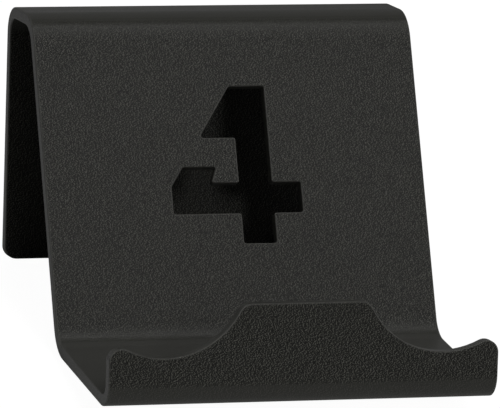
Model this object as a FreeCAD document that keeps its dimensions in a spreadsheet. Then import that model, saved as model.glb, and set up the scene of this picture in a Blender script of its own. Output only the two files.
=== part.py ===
"""Table number holder: one folded steel sheet on four rubber feet, in millimetres.

Frame: +X to the right, +Y to the back, +Z up. The table is the plane Z = 0. The origin lies on the
table at mid width, straight below the axis of the bend between the tray and the front plate.
"""
import FreeCAD, Part
import math
import os

import Sketcher

Vec = FreeCAD.Vector

# Driving dimensions: alias, value (millimetres or degrees), meaning.
DIMENSIONS = [
    ("holder_width", 100.0, "width of the folded sheet"),
    ("gauge", 3.0, "thickness of the coated steel sheet"),
    ("tray_rise", 7.7, "angle by which the tray climbs towards its lip"),
    ("tray_fold", 120.0, "angle between tray and front plate"),
    ("crest_fold", 113.0, "angle between front plate and top strip"),
    ("leg_fold", 90.0, "angle between top strip and leg"),
    ("lip_fold", 83.0, "angle between tray and lip"),
    ("tray_bend", 7.6, "inner radius of the bend from tray to front plate"),
    ("crest_bend", 6.8, "inner radius of the bend from front plate to top strip"),
    ("leg_bend", 4.2, "inner radius of the bend from top strip to leg"),
    ("lip_bend", 3.1, "inner radius of the bend from tray to lip"),
    ("tray_flat", 36.5, "flat depth of the tray between its bends"),
    ("plate_flat", 73.7, "flat height of the front plate between its bends"),
    ("strip_flat", 9.9, "flat depth of the top strip between its bends"),
    ("lip_flat", 19.45, "flat height of the lip at its middle"),
    ("leg_corner", 3.2, "corner radius at the lower end of the leg"),
    ("edge_round", 0.35, "radius that the coating leaves on cut edges"),
    ("crown_half", 13.9, "half width of the straight middle of the lip's top edge"),
    ("crown_round", 3.5, "radius at each end of that straight middle"),
    ("dip_side", 35.8, "distance of each dip in the lip from mid width"),
    ("dip_floor", 6.4, "height of each dip's lowest point above the lip's bend"),
    ("dip_inner", 21.2, "radius of the dip on its side towards the middle"),
    ("dip_outer", 22.0, "radius of the dip on its side towards the end"),
    ("horn_round", 3.1, "radius of the rounded horn at each end of the lip"),
    ("numeral_height", 40.9, "height of the numeral opening"),
    ("numeral_width", 34.1, "width of the numeral opening"),
    ("numeral_rise", 20.25, "numeral's lower edge above the start of the flat plate"),
    ("numeral_round", 0.6, "corner radius of the numeral opening"),
    ("numeral_head", 9.35, "width of the numeral's top edge"),
    ("stem_width", 8.65, "width of the numeral's stem"),
    ("stem_inset", 7.6, "distance of the stem from the right end of the crossbar"),
    ("crossbar_rise", 7.85, "height of the crossbar above the foot of the stem"),
    ("crossbar_depth", 7.9, "height of the crossbar's opening"),
    ("diagonal_drop", 0.8, "drop of the diagonal's lower end below the crossbar's top"),
    ("bridge_rise", 19.95, "height of the bridge's lower edge above the foot of the stem"),
    ("bridge_depth", 7.65, "width of the bridge that holds the island"),
    ("island_foot", 7.3, "width of the island along the crossbar"),
    ("island_slant", 1.55, "sideways slant of the island's free side"),
    ("bumper_across", 10.0, "diameter of a bumper"),
    ("bumper_depth", 2.6, "height of a bumper"),
    ("bumper_dome", 8.0, "radius of a bumper's domed face"),
    ("bumper_side", 36.0, "distance of a bumper from mid width"),
    ("bumper_setback", 7.0, "distance of a bumper's axis in front of the tray's rear bend"),
    ("shoe_length", 14.0, "length of a push-on foot along the leg's edge"),
    ("shoe_side", 29.2, "distance of a push-on foot's middle from mid width"),
    ("shoe_wall", 1.2, "wall thickness of a push-on foot"),
    ("shoe_grip", 5.0, "depth by which a push-on foot covers the leg"),
    ("shoe_round", 0.5, "edge radius of a push-on foot"),
]

doc = FreeCAD.newDocument("TableNumberHolder")
sheet = doc.addObject("Spreadsheet::Sheet", "Sheet")
for row, (alias, value, meaning) in enumerate(DIMENSIONS, start=1):
    sheet.set("A%d" % row, alias)
    sheet.set("B%d" % row, repr(value))
    sheet.set("C%d" % row, meaning)
    sheet.setAlias("B%d" % row, alias)
doc.recompute()
dim = {alias: value for alias, value, meaning in DIMENSIONS}

# Angles that follow from the folds, as expressions over the sheet.
PLATE_LEAN = "Sheet.tray_rise + Sheet.tray_fold - 90"
LIP_LEAN = "Sheet.tray_rise + 90 - Sheet.lip_fold"
LEG_LEAN = "Sheet.tray_rise + Sheet.tray_fold - Sheet.crest_fold - Sheet.leg_fold + 90"

START, END, CENTRE = 1, 2, 3
X_LINE, Y_LINE = -1, -2
ORIGIN = (X_LINE, START)


def direction(degrees):
    """Unit vector in a sketch, turned from the sketch's horizontal axis."""
    return Vec(math.cos(math.radians(degrees)), math.sin(math.radians(degrees)), 0)


# ---------------------------------------------------------------- helpers for bodies and sketches


def new_body(name):
    body = doc.addObject("PartDesign::Body", name)
    body.Label = name
    return body


def origin_plane(body, role):
    return [feature for feature in body.Origin.OriginFeatures if feature.Role == role][0]


def new_sketch(body, name, role):
    """A sketch on one of the body's own origin planes."""
    sketch = body.newObject("Sketcher::SketchObject", name)
    sketch.AttachmentSupport = (origin_plane(body, role), "")
    sketch.MapMode = "FlatFace"
    return sketch


def lean_back(sketch, lean, rise, forward):
    """Turn a front-facing sketch back by a lean, and move its origin up and forward."""
    sketch.AttachmentOffset = FreeCAD.Placement(Vec(0, 0, 0), FreeCAD.Rotation(Vec(-1, 0, 0), 10))
    sketch.setExpression("AttachmentOffset.Rotation.Angle", lean)
    sketch.setExpression("AttachmentOffset.Base.y", rise)
    sketch.setExpression("AttachmentOffset.Base.z", forward)


def link(sketch, *constraint):
    sketch.addConstraint(Sketcher.Constraint(*constraint))


def drive(sketch, expression, *constraint):
    """Add a dimension and bind it to an expression over the sheet."""
    index = sketch.addConstraint(Sketcher.Constraint(*constraint))
    sketch.setExpression("Constraints[%d]" % index, expression)


def measure(sketch, name, *constraint):
    """Add a named reference dimension, which other objects read."""
    index = sketch.addConstraint(Sketcher.Constraint(*constraint))
    sketch.setDriving(index, False)
    sketch.renameConstraint(index, name)


def line(sketch, start, end, construction=False):
    return sketch.addGeometry(Part.LineSegment(start, end), construction)


def arc(sketch, centre, radius, first, last):
    """An arc that runs counter-clockwise from the first to the last angle, in degrees."""
    circle = Part.Circle(centre, Vec(0, 0, 1), radius)
    return sketch.addGeometry(Part.ArcOfCircle(circle, math.radians(first), math.radians(last)))


def polygon(sketch, corners):
    """A closed outline of straight sides; side i runs from corner i to corner i + 1."""
    sides = [line(sketch, a, b) for a, b in zip(corners, corners[1:] + corners[:1])]
    for one, other in zip(sides, sides[1:] + sides[:1]):
        link(sketch, "Coincident", one, END, other, START)
    return sides


def symmetric_pad(body, name, profile, length):
    pad = body.newObject("PartDesign::Pad", name)
    pad.Profile = profile
    pad.SideType = "Symmetric"
    pad.setExpression("Length", length)
    doc.recompute()
    return pad


def through_pocket(body, name, profile):
    """Cut a sketch through the sheet it lies in, to twice the gauge on either side."""
    before = body.Shape.Volume
    pocket = body.newObject("PartDesign::Pocket", name)
    pocket.Profile = profile
    pocket.SideType = "Symmetric"
    pocket.setExpression("Length", "4 * Sheet.gauge")
    doc.recompute()
    assert body.Shape.Volume < before - 1, name + " cuts nothing"
    return pocket


def round_edges(body, name, chosen, radius):
    """Fillet the edges of the body's tip that the test picks."""
    base = body.Tip
    shape = base.Shape
    names = ["Edge%d" % i for i, edge in enumerate(shape.Edges, start=1) if chosen(edge, shape)]
    assert names, name + " finds no edge"
    fillet = body.newObject("PartDesign::Fillet", name)
    fillet.Base = (base, names)
    fillet.setExpression("Radius", radius)
    doc.recompute()
    return fillet


def is_straight(edge, axis, length):
    """True for a straight edge along an axis with a given length."""
    if edge.Curve.TypeId != "Part::GeomLine" or abs(edge.Length - length) > 0.01:
        return False
    return abs(abs(edge.tangentAt(edge.FirstParameter).dot(axis)) - 1) < 1e-4


def is_sharp(edge, shape):
    """True where two faces of a shape meet at more than 20 degrees."""
    middle = edge.valueAt((edge.FirstParameter + edge.LastParameter) / 2)
    faces = shape.ancestorsOfType(edge, Part.Face)
    normals = [face.normalAt(*face.Surface.parameter(middle)) for face in faces]
    return len(normals) == 2 and math.degrees(normals[0].getAngle(normals[1])) > 20


# ---------------------------------------------------------------- the folded sheet

# Flanges from the leg's lower end to the lip's top: heading of travel, flat length, bend after it.
FLANGES = [
    ("90 - (%s)" % LEG_LEAN, None, "leg_bend"),
    ("270 - (%s) - 180 + Sheet.crest_fold" % PLATE_LEAN, "strip_flat", "crest_bend"),
    ("270 - (%s)" % PLATE_LEAN, "plate_flat", "tray_bend"),
    ("180 - Sheet.tray_rise", "tray_flat", "lip_bend"),
    ("90 - (%s)" % LIP_LEAN, "lip_flat", None),
]
FIRST_LEG_FLAT = 58.0  # a first guess: the table decides the leg's length


def flange_headings():
    """Each flange's heading in degrees, from the same rule as its expression."""
    plate = 360 - dim["tray_rise"] - dim["tray_fold"]
    strip = plate - 180 + dim["crest_fold"]
    leg = strip - 180 + dim["leg_fold"]
    tray = 180 - dim["tray_rise"]
    lip = tray - 180 + dim["lip_fold"]
    return [leg, strip, plate, tray, lip]


def fold_profile(body):
    """The sheet's side view: two parallel sides of flats and arcs, closed by the two cut ends."""
    sketch = new_sketch(body, "FoldProfile", "YZ_Plane")
    headings = flange_headings()
    gauge = dim["gauge"]
    lefts, rights, bends = [], [], []
    here = Vec(dim["plate_flat"], 0, 0)  # running point on the sheet's middle surface
    for i, (heading_rule, flat, bend) in enumerate(FLANGES):
        ahead = direction(headings[i])
        aside = direction(headings[i] + 90)
        there = here + ahead * (dim[flat] if flat else FIRST_LEG_FLAT)
        for sides, offset in ((lefts, gauge / 2), (rights, -gauge / 2)):
            sides.append(line(sketch, here + aside * offset, there + aside * offset))
        if bend:
            turn = headings[i + 1] - headings[i]
            hand = math.copysign(1, turn)
            middle_radius = dim[bend] + gauge / 2
            centre = there + aside * hand * middle_radius
            first, last = sorted((headings[i] - 90 * hand, headings[i + 1] - 90 * hand))
            left_arc = arc(sketch, centre, middle_radius - hand * gauge / 2, first, last)
            right_arc = arc(sketch, centre, middle_radius + hand * gauge / 2, first, last)
            bends.append((left_arc, right_arc, hand))
            here = centre + direction(headings[i + 1] - 90 * hand) * middle_radius

    leg_end = line(sketch, sketch.Geometry[lefts[0]].StartPoint, sketch.Geometry[rights[0]].StartPoint)
    lip_end = line(sketch, sketch.Geometry[lefts[-1]].EndPoint, sketch.Geometry[rights[-1]].EndPoint)
    for cap, which, flange in ((leg_end, START, 0), (lip_end, END, -1)):
        link(sketch, "Coincident", cap, START, lefts[flange], which)
        link(sketch, "Coincident", cap, END, rights[flange], which)
        link(sketch, "Perpendicular", cap, lefts[flange])
        link(sketch, "Parallel", lefts[flange], rights[flange])

    for i, (left_arc, right_arc, hand) in enumerate(bends):
        enters, leaves = (START, END) if hand > 0 else (END, START)
        for sides, bend_arc in ((lefts, left_arc), (rights, right_arc)):
            link(sketch, "Tangent", sides[i], END, bend_arc, enters)
            link(sketch, "Tangent", bend_arc, leaves, sides[i + 1], START)
        link(sketch, "Coincident", left_arc, CENTRE, right_arc, CENTRE)
        inner, outer = (left_arc, right_arc) if hand > 0 else (right_arc, left_arc)
        alias = FLANGES[i][2]
        drive(sketch, "Sheet.%s" % alias, "Radius", inner, dim[alias])
        drive(sketch, "Sheet.%s + Sheet.gauge" % alias, "Radius", outer, dim[alias] + gauge)

    for i, (heading_rule, flat, bend) in enumerate(FLANGES):
        drive(sketch, heading_rule, "Angle", lefts[i], math.radians(headings[i]))
        if flat:
            drive(sketch, "Sheet." + flat, "Distance", lefts[i], dim[flat])

    tray_arc = bends[2][0]
    link(sketch, "PointOnObject", tray_arc, CENTRE, Y_LINE)
    measure(sketch, "bend_axis_height", "DistanceY", *ORIGIN, tray_arc, CENTRE, 12.0)

    # The tray stands on its bumpers: this is where their axes meet its underside.
    tray_under = sketch.Geometry[lefts[3]]
    seat = sketch.addGeometry(Part.Point(tray_under.value(dim["bumper_setback"])), True)
    link(sketch, "PointOnObject", seat, START, lefts[3])
    drive(sketch, "Sheet.bumper_setback", "Distance", lefts[3], START, seat, START,
          dim["bumper_setback"])
    drive(sketch, "Sheet.bumper_dome - (Sheet.bumper_dome - Sheet.bumper_depth) * cos(Sheet.tray_rise)",
          "DistanceY", *ORIGIN, seat, START, dim["bumper_depth"])
    measure(sketch, "seat_forward", "DistanceX", seat, START, *ORIGIN, 10.0)

    # The leg stands on its push-on feet, whose lower rear edge touches the table.
    heel = sketch.addGeometry(Part.Point(sketch.Geometry[leg_end].value(gauge / 2)), True)
    link(sketch, "Symmetric", leg_end, START, leg_end, END, heel, START)
    drive(sketch, "Sheet.shoe_round + (Sheet.shoe_wall - Sheet.shoe_round) * (cos({0}) + sin({0}))"
          " + Sheet.gauge / 2 * sin({0})".format(LEG_LEAN),
          "DistanceY", *ORIGIN, heel, START, dim["shoe_wall"])
    measure(sketch, "heel_back", "DistanceX", *ORIGIN, heel, START, 55.0)

    # Where the lip's outer face begins, above its bend.
    measure(sketch, "lip_root_forward", "DistanceX", lefts[4], START, *ORIGIN, 45.0)
    measure(sketch, "lip_root_height", "DistanceY", *ORIGIN, lefts[4], START, 10.0)
    doc.recompute()
    return sketch


def numeral_outline(body):
    """The stencil numeral, upright on the plate's front face, with a bridge to its island."""
    sketch = new_sketch(body, "NumeralOutline", "XZ_Plane")
    lean_back(sketch, PLATE_LEAN,
              "FoldProfile.Constraints.bend_axis_height - Sheet.tray_bend * 1 mm * sin(%s)" % PLATE_LEAN,
              "-Sheet.tray_bend * 1 mm * cos(%s)" % PLATE_LEAN)
    foot = dim["numeral_rise"]
    head = foot + dim["numeral_height"]
    right = dim["numeral_width"] / 2
    left = -right
    stem_right = right - dim["stem_inset"]
    stem_left = stem_right - dim["stem_width"]
    bar_low = foot + dim["crossbar_rise"]
    bar_high = bar_low + dim["crossbar_depth"]
    bridge_low = foot + dim["bridge_rise"]
    bridge_high = bridge_low + dim["bridge_depth"]
    head_left = stem_right - dim["numeral_head"]
    slope = (head_left - left) / (head - (bar_low + bar_high) / 2)

    def on_diagonal(height):
        return head_left - (head - height) * slope

    island_left = stem_left - dim["island_foot"]
    corners = [Vec(x, y, 0) for x, y in (
        (stem_left, foot), (stem_right, foot), (stem_right, bar_low), (right, bar_low),
        (right, bar_high), (stem_right, bar_high), (stem_right, head), (head_left, head),
        (on_diagonal(bridge_high), bridge_high), (stem_left, bridge_high), (stem_left, bar_high),
        (island_left, bar_high), (island_left + dim["island_slant"], bridge_low),
        (on_diagonal(bridge_low), bridge_low), (left, bar_high - dim["diagonal_drop"]), (left, bar_low),
        (stem_left, bar_low))]
    (foot_side, stem_low, arm_low, arm_end, arm_high, stem_high, head_side, upper_slant, bridge_top,
     stem_inner, island_base, island_side, bridge_base, lower_slant, bar_end, bar_base,
     stem_tail) = polygon(sketch, corners)
    for side in (foot_side, arm_low, arm_high, head_side, bridge_top, island_base, bridge_base,
                 bar_base):
        link(sketch, "Horizontal", side)
    for side in (stem_low, arm_end, stem_high, stem_inner, bar_end, stem_tail):
        link(sketch, "Vertical", side)
    link(sketch, "PointOnObject", stem_high, START, stem_low)
    link(sketch, "PointOnObject", stem_inner, START, stem_tail)
    link(sketch, "PointOnObject", bar_base, START, arm_low)
    link(sketch, "PointOnObject", island_base, START, arm_high)
    # Both slanted sides lie on one straight diagonal.
    link(sketch, "Tangent", upper_slant, lower_slant)

    def width(alias, first, last, guess):
        drive(sketch, "Sheet." + alias, "DistanceX", *first, *last, guess)

    def height(alias, first, last, guess):
        drive(sketch, "Sheet." + alias, "DistanceY", *first, *last, guess)

    drive(sketch, "Sheet.numeral_width / 2", "DistanceX", *ORIGIN, arm_end, START, right)
    width("numeral_width", (bar_end, END), (arm_end, START), 2 * right)
    width("stem_inset", (arm_low, START), (arm_low, END), dim["stem_inset"])
    width("stem_width", (foot_side, START), (foot_side, END), dim["stem_width"])
    width("numeral_head", (head_side, END), (head_side, START), dim["numeral_head"])
    width("island_foot", (island_base, END), (island_base, START), dim["island_foot"])
    width("island_slant", (island_side, START), (island_side, END), dim["island_slant"])
    height("numeral_rise", ORIGIN, (foot_side, START), foot)
    height("numeral_height", (foot_side, START), (head_side, START), dim["numeral_height"])
    height("crossbar_rise", (foot_side, START), (arm_low, START), dim["crossbar_rise"])
    height("crossbar_depth", (arm_end, START), (arm_end, END), dim["crossbar_depth"])
    height("bridge_rise", (foot_side, START), (bridge_base, START), dim["bridge_rise"])
    height("bridge_depth", (bridge_base, START), (bridge_top, START), dim["bridge_depth"])
    height("diagonal_drop", (lower_slant, END), (arm_end, END), dim["diagonal_drop"])
    doc.recompute()
    return sketch


def lip_outline(body):
    """What is cut away above the right half of the lip: a dip between its crown and its horn."""
    sketch = new_sketch(body, "LipOutline", "XZ_Plane")
    lean_back(sketch, LIP_LEAN, "FoldProfile.Constraints.lip_root_height",
              "FoldProfile.Constraints.lip_root_forward")
    half = dim["holder_width"] / 2
    top = dim["lip_flat"]
    crown_centre = Vec(dim["crown_half"], top - dim["crown_round"], 0)
    inner_centre = Vec(dim["dip_side"], dim["dip_floor"] + dim["dip_inner"], 0)
    outer_centre = Vec(dim["dip_side"], dim["dip_floor"] + dim["dip_outer"], 0)
    reach = dim["dip_outer"] + dim["horn_round"]
    across = half - dim["horn_round"] - dim["dip_side"]
    horn_centre = Vec(half - dim["horn_round"], outer_centre.y - math.sqrt(reach ** 2 - across ** 2), 0)
    crown_turn = math.degrees(math.atan2(*(inner_centre - crown_centre)[1::-1]))
    horn_turn = math.degrees(math.atan2(*(outer_centre - horn_centre)[1::-1]))

    crown = arc(sketch, crown_centre, dim["crown_round"], crown_turn, 90)
    inner = arc(sketch, inner_centre, dim["dip_inner"], 180 + crown_turn, 270)
    outer = arc(sketch, outer_centre, dim["dip_outer"], 270, 180 + horn_turn)
    horn = arc(sketch, horn_centre, dim["horn_round"], 0, horn_turn)
    beyond = half + dim["gauge"]
    above = top + dim["gauge"]
    shelf = line(sketch, Vec(half, horn_centre.y, 0), Vec(beyond, horn_centre.y, 0))
    rise = line(sketch, Vec(beyond, horn_centre.y, 0), Vec(beyond, above, 0))
    roof = line(sketch, Vec(beyond, above, 0), Vec(crown_centre.x, above, 0))
    drop = line(sketch, Vec(crown_centre.x, above, 0), Vec(crown_centre.x, top, 0))

    link(sketch, "Tangent", crown, START, inner, START)
    link(sketch, "Coincident", inner, END, outer, START)
    link(sketch, "Tangent", outer, END, horn, END)
    link(sketch, "Coincident", horn, START, shelf, START)
    link(sketch, "Coincident", shelf, END, rise, START)
    link(sketch, "Coincident", rise, END, roof, START)
    link(sketch, "Coincident", roof, END, drop, START)
    link(sketch, "Coincident", drop, END, crown, END)
    for side in (shelf, roof):
        link(sketch, "Horizontal", side)
    for side in (rise, drop):
        link(sketch, "Vertical", side)
    link(sketch, "Vertical", crown, CENTRE, crown, END)
    link(sketch, "Vertical", inner, CENTRE, inner, END)
    link(sketch, "Vertical", outer, CENTRE, inner, END)
    link(sketch, "Horizontal", horn, CENTRE, horn, START)

    for part, alias in ((crown, "crown_round"), (inner, "dip_inner"), (outer, "dip_outer"),
                        (horn, "horn_round")):
        drive(sketch, "Sheet." + alias, "Radius", part, dim[alias])
    drive(sketch, "Sheet.dip_side", "DistanceX", *ORIGIN, inner, END, dim["dip_side"])
    drive(sketch, "Sheet.dip_floor", "DistanceY", *ORIGIN, inner, END, dim["dip_floor"])
    drive(sketch, "Sheet.lip_flat", "DistanceY", *ORIGIN, crown, END, top)
    drive(sketch, "Sheet.holder_width / 2", "DistanceX", *ORIGIN, horn, START, half)
    drive(sketch, "Sheet.gauge", "DistanceX", shelf, START, shelf, END, dim["gauge"])
    drive(sketch, "Sheet.gauge", "DistanceY", drop, END, drop, START, dim["gauge"])
    doc.recompute()
    return sketch


def folded_sheet():
    """Lip, tray, front plate, top strip and leg: one sheet, cut and then folded four times."""
    body = new_body("folded_sheet")
    symmetric_pad(body, "FoldedBlank", fold_profile(body), "Sheet.holder_width")

    through_pocket(body, "NumeralOpening", numeral_outline(body))
    lean = math.radians(dim["tray_rise"] + dim["tray_fold"] - 90)
    plate_normal = Vec(0, -math.cos(lean), math.sin(lean))
    round_edges(body, "NumeralCorners",
                lambda edge, shape: is_straight(edge, plate_normal, dim["gauge"])
                and abs(edge.CenterOfMass.x) < dim["numeral_width"],
                "Sheet.numeral_round")

    lip_cut = through_pocket(body, "LipRight", lip_outline(body))
    mirror = body.newObject("PartDesign::Mirrored", "LipLeft")
    mirror.Originals = [lip_cut]
    mirror.MirrorPlane = (origin_plane(body, "YZ_Plane"), [""])
    body.Tip = mirror
    doc.recompute()

    leg_lean = math.radians(dim["tray_rise"] + dim["tray_fold"] - dim["crest_fold"]
                            - dim["leg_fold"] + 90)
    leg_normal = Vec(0, math.cos(leg_lean), -math.sin(leg_lean))
    round_edges(body, "LegCorners",
                lambda edge, shape: is_straight(edge, leg_normal, dim["gauge"])
                and edge.CenterOfMass.z < 2 * dim["gauge"],
                "Sheet.leg_corner")
    round_edges(body, "CoatedEdges", is_sharp, "Sheet.edge_round")
    return body


# ---------------------------------------------------------------- the rubber feet


def bumper(name, side):
    """A domed self-adhesive bumper, turned about its axis, on the underside of the tray."""
    body = new_body(name)
    sketch = new_sketch(body, name + "_section", "XZ_Plane")
    radius = dim["bumper_across"] / 2
    dome = dim["bumper_dome"]
    depth = dim["bumper_depth"]
    tilt = math.degrees(math.asin(radius / dome))
    rim = dome * math.cos(math.radians(tilt)) - dome + depth
    centre = Vec(0, dome - depth, 0)
    seat = line(sketch, Vec(0, 0, 0), Vec(radius, 0, 0))
    wall = line(sketch, Vec(radius, 0, 0), Vec(radius, -rim, 0))
    face = arc(sketch, centre, dome, 270, 270 + tilt)
    axis = line(sketch, Vec(0, -depth, 0), Vec(0, 0, 0))
    link(sketch, "Coincident", seat, START, *ORIGIN)
    link(sketch, "Coincident", seat, END, wall, START)
    link(sketch, "Coincident", wall, END, face, END)
    link(sketch, "Coincident", face, START, axis, START)
    link(sketch, "Coincident", axis, END, seat, START)
    link(sketch, "Horizontal", seat)
    link(sketch, "Vertical", wall)
    link(sketch, "Vertical", axis)
    link(sketch, "PointOnObject", face, CENTRE, Y_LINE)
    drive(sketch, "Sheet.bumper_across / 2", "DistanceX", seat, START, seat, END, radius)
    drive(sketch, "Sheet.bumper_depth", "DistanceY", axis, START, axis, END, depth)
    drive(sketch, "Sheet.bumper_dome", "Radius", face, dome)
    doc.recompute()
    turn = body.newObject("PartDesign::Revolution", name + "_turned")
    turn.Profile = sketch
    turn.ReferenceAxis = (sketch, ["V_Axis"])
    turn.Angle = 360
    body.Placement = FreeCAD.Placement(Vec(0, 0, 0), FreeCAD.Rotation(Vec(-1, 0, 0), 5))
    body.setExpression("Placement.Rotation.Angle", "Sheet.tray_rise")
    body.setExpression("Placement.Base.x", "%d * Sheet.bumper_side * 1 mm" % side)
    body.setExpression("Placement.Base.y", "-FoldProfile.Constraints.seat_forward")
    body.setExpression("Placement.Base.z", "(Sheet.bumper_dome - (Sheet.bumper_dome"
                       " - Sheet.bumper_depth) * cos(Sheet.tray_rise)) * 1 mm")
    doc.recompute()
    return body


def edge_foot(name, side):
    """A rubber channel pushed onto the leg's lower edge."""
    body = new_body(name)
    sketch = new_sketch(body, name + "_section", "YZ_Plane")
    inner = dim["gauge"] / 2
    outer = inner + dim["shoe_wall"]
    low = -dim["shoe_wall"]
    high = dim["shoe_grip"]
    corners = [Vec(x, y, 0) for x, y in (
        (-outer, low), (outer, low), (outer, high), (inner, high),
        (inner, 0), (-inner, 0), (-inner, high), (-outer, high))]
    base, back, back_top, back_inner, floor, front_inner, front_top, front = polygon(sketch, corners)
    for side_line in (base, back_top, floor, front_top):
        link(sketch, "Horizontal", side_line)
    for side_line in (back, back_inner, front_inner, front):
        link(sketch, "Vertical", side_line)
    link(sketch, "Symmetric", floor, START, floor, END, *ORIGIN)
    link(sketch, "Equal", back_top, front_top)
    link(sketch, "Equal", back, front)
    drive(sketch, "Sheet.gauge", "DistanceX", floor, END, floor, START, 2 * inner)
    drive(sketch, "Sheet.shoe_wall", "DistanceX", back_top, END, back_top, START, dim["shoe_wall"])
    drive(sketch, "Sheet.shoe_wall", "DistanceY", base, START, floor, END, dim["shoe_wall"])
    drive(sketch, "Sheet.shoe_grip", "DistanceY", floor, START, back_inner, START, dim["shoe_grip"])
    doc.recompute()
    symmetric_pad(body, name + "_channel", sketch, "Sheet.shoe_length")
    round_edges(body, name + "_edges",
                lambda edge, shape: is_straight(edge, Vec(1, 0, 0), dim["shoe_length"])
                and abs(edge.CenterOfMass.y) > inner + 0.01,
                "Sheet.shoe_round")
    body.Placement = FreeCAD.Placement(Vec(0, 0, 0), FreeCAD.Rotation(Vec(-1, 0, 0), 5))
    body.setExpression("Placement.Rotation.Angle", LEG_LEAN)
    body.setExpression("Placement.Base.x", "%d * Sheet.shoe_side * 1 mm" % side)
    body.setExpression("Placement.Base.y", "FoldProfile.Constraints.heel_back")
    body.setExpression("Placement.Base.z", "(Sheet.shoe_round + (Sheet.shoe_wall - Sheet.shoe_round)"
                       " * (cos({0}) + sin({0})) + Sheet.gauge / 2 * sin({0})) * 1 mm".format(LEG_LEAN))
    doc.recompute()
    return body


# ---------------------------------------------------------------- build, check and write

bodies = [
    folded_sheet(),
    bumper("tray_bumper_left", -1),
    bumper("tray_bumper_right", 1),
    edge_foot("leg_foot_left", -1),
    edge_foot("leg_foot_right", 1),
]
doc.recompute()
for item in doc.Objects:
    if "Invalid" in item.State or "Error" in item.State:
        raise RuntimeError("%s failed: %s" % (item.Name, item.State))
for body in bodies:
    if body.Shape.isNull() or not body.Shape.isValid() or len(body.Shape.Solids) != 1:
        raise RuntimeError("%s has no valid solid" % body.Label)

os.makedirs("parts", exist_ok=True)
for body in bodies:
    body.Shape.exportStep(os.path.join("parts", body.Label + ".step"))
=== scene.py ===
"""Looks of the table number holder: coated steel, rubber feet, a pale studio and the camera, in metres."""
import math

import bpy
from mathutils import Matrix, Vector


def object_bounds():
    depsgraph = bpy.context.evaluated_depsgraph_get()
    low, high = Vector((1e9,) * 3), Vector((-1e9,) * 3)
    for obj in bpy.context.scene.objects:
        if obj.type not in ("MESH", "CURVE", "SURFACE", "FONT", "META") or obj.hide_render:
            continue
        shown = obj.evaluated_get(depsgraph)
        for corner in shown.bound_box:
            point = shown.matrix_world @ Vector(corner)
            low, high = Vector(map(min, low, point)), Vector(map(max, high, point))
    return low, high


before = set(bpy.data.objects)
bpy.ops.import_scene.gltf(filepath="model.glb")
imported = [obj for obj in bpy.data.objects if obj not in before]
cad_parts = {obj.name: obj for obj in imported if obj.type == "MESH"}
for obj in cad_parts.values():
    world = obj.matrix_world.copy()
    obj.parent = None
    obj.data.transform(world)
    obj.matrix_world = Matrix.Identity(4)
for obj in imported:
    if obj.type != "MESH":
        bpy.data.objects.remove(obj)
cad_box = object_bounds()

MM = 0.001
WHITE = (1, 1, 1, 1)

# The camera stands in front, a little to the left and above, with a long lens. Angles are in degrees.
AIM = Vector((-2.09, 8.89, 38.73)) * MM
AZIMUTH = -18.36
ELEVATION = 23.24
ROLL = 6.40
DISTANCE = 1.7216
LENS = 495.06
SENSOR = 36.0
CLIP_END = 20.0

# The coat's relief: pebbles over a slow orange peel. PEBBLE_SIDE points to the side of each pebble that
# gets painted light.
PEBBLE = {"size": 0.3 * MM, "detail": 1.0, "roughness": 0.6}
PEBBLE_HEIGHT = 0.14 * MM
PEBBLE_SIDE = (0.32 * MM, 0.0, -0.12 * MM)
PEBBLE_SLOPE = (0.0, 0.2)
PEEL = {"size": 6.0 * MM, "detail": 1.0, "roughness": 0.5}
PEEL_HEIGHT = 0.02 * MM

# The coat's finish. A pebble's top is smoother than the gaps between pebbles.
GAP_TO_TOP = (0.3, 0.7)
COAT_ROUGHNESS = (0.36, 0.28)
COAT_SPECULAR = 0.25
# Painted shade and painted light for the two sides of each pebble.
PEBBLE_PAINTED_SHADE = (0.018, 0.018, 0.0157, 1)
PEBBLE_PAINTED_LIGHT = (0.150, 0.150, 0.130, 1)
# Painted light on faces that look straight up.
PAINTED_TOP_LIGHT = (0.086, 0.086, 0.0785, 1)
# Painted light on the lip's sloped cut faces.
PAINTED_CUT_LIGHT = (0.125, 0.125, 0.115, 1)
# A painted highlight along the edges.
PAINTED_EDGE_HIGHLIGHT = (0.24, 0.24, 0.222, 1)

# Which way a face looks: ranges of its normal's x, y or z, from not at all to fully.
LEVEL = (0.7, 0.9)
A_LITTLE_UP = (0.1, 0.24)
BACKWARD = (0.0, 0.2)
STRAIGHT_UP = (0.93, 0.99)
TO_A_SIDE = (0.1, 0.4)
PARTLY_UP = (0.2, 0.5)
TOO_FAR_BACK = (0.27, 0.35)

# The share of the relief that calm faces keep, and the mix of painted shade and painted light that it plays
# around.
CALM = 0.3
EVEN = 0.3

# A painted highlight runs along the edges where the surface turns within this radius; the range is the
# cosine of that turn.
EDGE_RADIUS = 0.45 * MM
EDGE_TURN = (0.99, 0.90)

# The feet and bumpers.
RUBBER = {"size": 0.8 * MM, "detail": 3.0, "roughness": 0.6}
RUBBER_HEIGHT = 0.03 * MM
RUBBER_COLOUR = (0.02, 0.02, 0.02, 1)
RUBBER_ROUGHNESS = (0.75, 0.9)

# The floor. Strips in front of, behind and beside the holder glow faintly, as a white sweep would.
FLOOR_REACH = 8.0
FLOOR_COLOUR = (0.2, 0.2, 0.2, 1)
FLOOR_SEEN = 0.97
FRONT_GLOW = 0.29
FRONT_STARTS = (-0.02, -0.05)
FRONT_STOPS = (-0.15, -0.25)
BACK_GLOW = 0.08
BACK_STARTS = (0.09, 0.12)
SIDE_GLOW = 0.22
SIDE_STARTS = (0.05, 0.053)
SIDE_STOPS = (0.11, 0.14)

# The room's back wall: its light, and the range of a direction's y over which it comes in.
WALL_GLOW = 0.12
WALL_STARTS = (0.6, 0.95)

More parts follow.
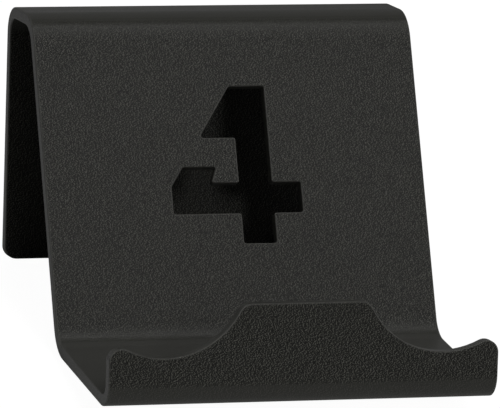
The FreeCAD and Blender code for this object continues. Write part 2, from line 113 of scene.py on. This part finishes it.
# Soft lights: azimuth and elevation in degrees, distance and side in metres, power in watts.
SOFTBOXES = {
    "key": (6, 29, 1.6, 0.16, 1.65),
    "top": (100, 79, 1.4, 0.6, 2.2),
    "front": (20, 54, 1.8, 1.2, 6.4),
    "left": (-110, 35, 1.4, 0.8, 1.0),
    "right": (100, 45, 1.4, 0.8, 1.4),
}


# ---------------------------------------------------------------- node helpers


def new_material(name):
    material = bpy.data.materials.new(name)
    material.use_nodes = True
    material.node_tree.nodes.clear()
    return material


def add(tree, kind, settings=None, **inputs):
    """Add a shader node. An input goes by its number (i0, i1) or its label, and is a value or a socket."""
    node = tree.nodes.new("ShaderNode" + kind)
    for key, value in (settings or {}).items():
        setattr(node, key, value)
    for key, value in inputs.items():
        numbered = key[0] == "i" and key[1:].isdigit()
        socket = node.inputs[int(key[1:]) if numbered else key.replace("_", " ")]
        if isinstance(value, bpy.types.NodeSocket):
            tree.links.new(value, socket)
        else:
            socket.default_value = value
    return node


def calculate(tree, operation, *values):
    inputs = {f"i{number}": value for number, value in enumerate(values)}
    return add(tree, "Math", {"operation": operation}, **inputs).outputs[0]


def ramp(tree, value, start_end, result):
    """Map a value from one range to another, clamped."""
    node = add(tree, "MapRange", None, Value=value)
    for label, number in zip(("From Min", "From Max", "To Min", "To Max"), start_end + result):
        node.inputs[label].default_value = number
    return node.outputs["Result"]


def noise(tree, where, size, detail, roughness):
    node = add(tree, "TexNoise", None, Vector=where, Scale=1 / size, Detail=detail, Roughness=roughness)
    return node.outputs["Fac"]


def mix(tree, share, first, second):
    """Mix two colours, by the second one's share."""
    return add(tree, "Mix", {"data_type": "RGBA"}, Factor=share, A=first, B=second).outputs["Result"]


def axes(tree, vector):
    return add(tree, "SeparateXYZ", None, Vector=vector).outputs


# ---------------------------------------------------------------- materials


def coat_relief(tree, facing):
    """How strong the relief is: calm on level and cut faces, under the lip's bend and inside the leg."""
    level = ramp(tree, calculate(tree, "ABSOLUTE", facing["Z"]), LEVEL, (1.0, CALM))
    front = ramp(tree, facing["Z"], A_LITTLE_UP, (CALM, 1.0))
    rear = ramp(tree, facing["Y"], BACKWARD, (CALM, 1.0))
    return calculate(tree, "MINIMUM", level, calculate(tree, "MAXIMUM", front, rear))


def painted_pebble_light(tree, where, pebbles, relief):
    """Painted light on one side of each pebble and painted shade on the other, as far as the relief goes.
    """
    beside = add(tree, "VectorMath", {"operation": "ADD"}, i0=where, i1=PEBBLE_SIDE).outputs["Vector"]
    slope = calculate(tree, "SUBTRACT", pebbles, noise(tree, beside, **PEBBLE))
    lit = ramp(tree, slope, PEBBLE_SLOPE, (0.0, 1.0))
    spread = calculate(tree, "MULTIPLY", calculate(tree, "SUBTRACT", lit, EVEN), relief)
    return mix(tree, calculate(tree, "ADD", spread, EVEN), PEBBLE_PAINTED_SHADE, PEBBLE_PAINTED_LIGHT)


def sloped_cut(tree, facing):
    """Where a face is one of the lip's sloped cut faces, which get painted light: to a side, partly up, and
    hardly back.
    """
    sideways = ramp(tree, calculate(tree, "ABSOLUTE", facing["X"]), TO_A_SIDE, (0.0, 1.0))
    upward = ramp(tree, facing["Z"], PARTLY_UP, (0.0, 1.0))
    not_back = ramp(tree, facing["Y"], TOO_FAR_BACK, (1.0, 0.0))
    return calculate(tree, "MINIMUM", calculate(tree, "MINIMUM", sideways, upward), not_back)


def edge_highlight_share(tree, normal):
    """Where the surface turns an edge and gets a painted highlight: its rounded normal parts from its own.
    """
    rounded = add(tree, "Bevel", None, Radius=EDGE_RADIUS).outputs["Normal"]
    turn = add(tree, "VectorMath", {"operation": "DOT_PRODUCT"}, i0=normal, i1=rounded).outputs["Value"]
    return ramp(tree, turn, EDGE_TURN, (0.0, 1.0))


def powder_coat():
    """Black powder coat: pebbles and orange peel, with painted light and shade on each pebble, painted
    light on faces that look straight up, a painted highlight along the edges and painted light on the lip's
    sloped cuts.
    """
    material = new_material("powder_coat")
    tree = material.node_tree
    where = add(tree, "TexCoord").outputs["Object"]
    geometry = add(tree, "NewGeometry").outputs
    facing = axes(tree, geometry["True Normal"])

    pebbles = noise(tree, where, **PEBBLE)
    relief = coat_relief(tree, facing)
    fine = add(tree, "Bump", None, Height=pebbles, Distance=PEBBLE_HEIGHT, Strength=relief)
    broad = add(tree, "Bump", None, Height=noise(tree, where, **PEEL), Distance=PEEL_HEIGHT,
                Strength=1.0, Normal=fine.outputs["Normal"])

    # Painted light and shade on each pebble, put into the colour.
    colour = painted_pebble_light(tree, where, pebbles, relief)
    # Painted light on faces that look straight up.
    colour = mix(tree, ramp(tree, facing["Z"], STRAIGHT_UP, (0.0, 1.0)), colour, PAINTED_TOP_LIGHT)
    # Painted light on the lip's sloped cut faces.
    colour = mix(tree, sloped_cut(tree, facing), colour, PAINTED_CUT_LIGHT)
    # A painted highlight along the edges.
    colour = mix(tree, edge_highlight_share(tree, geometry["Normal"]), colour, PAINTED_EDGE_HIGHLIGHT)

    surface = add(tree, "BsdfPrincipled", None, Base_Color=colour, Specular_IOR_Level=COAT_SPECULAR,
                  Roughness=ramp(tree, pebbles, GAP_TO_TOP, COAT_ROUGHNESS), Normal=broad.outputs["Normal"])
    add(tree, "OutputMaterial", None, Surface=surface.outputs["BSDF"])
    return material


def foot_rubber():
    """Matt black rubber."""
    material = new_material("foot_rubber")
    tree = material.node_tree
    where = add(tree, "TexCoord").outputs["Object"]
    grain = noise(tree, where, **RUBBER)
    bump = add(tree, "Bump", None, Height=grain, Distance=RUBBER_HEIGHT, Strength=1.0)
    surface = add(tree, "BsdfPrincipled", None, Base_Color=RUBBER_COLOUR, Normal=bump.outputs["Normal"],
                  Roughness=ramp(tree, grain, GAP_TO_TOP, RUBBER_ROUGHNESS))
    add(tree, "OutputMaterial", None, Surface=surface.outputs["BSDF"])
    return material


def paint(node, material):
    node.data.materials.clear()
    node.data.materials.append(material)


# ---------------------------------------------------------------- the studio


def strip(tree, value, starts, stops, strength):
    """A band that fades in over one range of the value and out over another."""
    rising = ramp(tree, value, starts, (0.0, strength))
    falling = ramp(tree, value, stops, (strength, 0.0))
    return calculate(tree, "MINIMUM", rising, falling)


def floor_glow(tree):
    """The floor's own light: nearly white for the camera, faint strips for everything else."""
    place = axes(tree, add(tree, "TexCoord").outputs["Object"])
    front = strip(tree, place["Y"], FRONT_STARTS, FRONT_STOPS, FRONT_GLOW)
    back = ramp(tree, place["Y"], BACK_STARTS, (0.0, BACK_GLOW))
    sides = strip(tree, calculate(tree, "ABSOLUTE", place["X"]), SIDE_STARTS, SIDE_STOPS, SIDE_GLOW)
    around = calculate(tree, "MAXIMUM", calculate(tree, "MAXIMUM", front, back), sides)
    seen = calculate(tree, "MULTIPLY", add(tree, "LightPath").outputs["Is Camera Ray"], FLOOR_SEEN)
    return calculate(tree, "MAXIMUM", around, seen)


def pale_floor():
    """A wide pale table top, seen from above only."""
    corners = [(x * FLOOR_REACH, y * FLOOR_REACH, 0) for x, y in ((-1, -1), (1, -1), (1, 1), (-1, 1))]
    mesh = bpy.data.meshes.new("floor")
    mesh.from_pydata(corners, [], [(0, 1, 2, 3)])
    floor = bpy.data.objects.new("floor", mesh)
    bpy.context.scene.collection.objects.link(floor)

    material = new_material("pale_floor")
    tree = material.node_tree
    matt = add(tree, "BsdfDiffuse", None, Color=FLOOR_COLOUR)
    light = add(tree, "Emission", None, Color=WHITE, Strength=floor_glow(tree))
    top = add(tree, "AddShader", None, i0=matt.outputs[0], i1=light.outputs[0])
    clear = add(tree, "BsdfTransparent")
    below = add(tree, "NewGeometry").outputs["Backfacing"]
    surface = add(tree, "MixShader", None, Fac=below, i1=top.outputs[0], i2=clear.outputs[0])
    add(tree, "OutputMaterial", None, Surface=surface.outputs[0])
    mesh.materials.append(material)


def surroundings():
    """The room: a white backdrop for the camera, and only a dim back wall for the light it gives."""
    world = bpy.data.worlds.new("room")
    bpy.context.scene.world = world
    world.use_nodes = True
    tree = world.node_tree
    tree.nodes.clear()
    seen = add(tree, "LightPath").outputs["Is Camera Ray"]
    way = axes(tree, add(tree, "TexCoord").outputs["Generated"])
    wall = ramp(tree, way["Y"], WALL_STARTS, (0.0, WALL_GLOW))
    strength = calculate(tree, "MAXIMUM", wall, seen)
    back = add(tree, "Background", None, Color=WHITE, Strength=strength)
    add(tree, "OutputWorld", None, Surface=back.outputs[0])


def outward(azimuth, elevation):
    """The direction from the holder to a place around it; azimuth 0 is the front."""
    turn, rise = math.radians(azimuth), math.radians(elevation)
    return Vector((math.sin(turn) * math.cos(rise), -math.cos(turn) * math.cos(rise), math.sin(rise)))


def softbox(name, azimuth, elevation, distance, side, power):
    """A square soft light that looks at the holder's middle."""
    light = bpy.data.lights.new(name, "AREA")
    light.shape = "SQUARE"
    light.size = side
    light.energy = power
    lamp = bpy.data.objects.new(name, light)
    out = outward(azimuth, elevation)
    middle = (cad_box[0] + cad_box[1]) / 2
    lamp.location = middle + out * distance
    lamp.rotation_mode = "QUATERNION"
    lamp.rotation_quaternion = out.to_track_quat("Z", "Y")
    lamp.visible_camera = False
    bpy.context.scene.collection.objects.link(lamp)


def aim_camera():
    lens = bpy.data.cameras.new("camera")
    lens.lens = LENS
    lens.sensor_width = SENSOR
    lens.clip_end = CLIP_END
    camera = bpy.data.objects.new("camera", lens)
    out = outward(AZIMUTH, ELEVATION)
    upright = out.to_track_quat("Z", "Y").to_matrix()
    rolled = upright @ Matrix.Rotation(math.radians(ROLL), 3, "Z")
    camera.matrix_world = Matrix.Translation(AIM + out * DISTANCE) @ rolled.to_4x4()
    bpy.context.scene.collection.objects.link(camera)
    bpy.context.scene.camera = camera


coat = powder_coat()
rubber = foot_rubber()
for node_name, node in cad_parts.items():
    paint(node, coat if node_name == "folded_sheet" else rubber)

pale_floor()
surroundings()
for box_name, place in SOFTBOXES.items():
    softbox(box_name, *place)
aim_camera()
bpy.context.scene.view_settings.view_transform = "Standard"
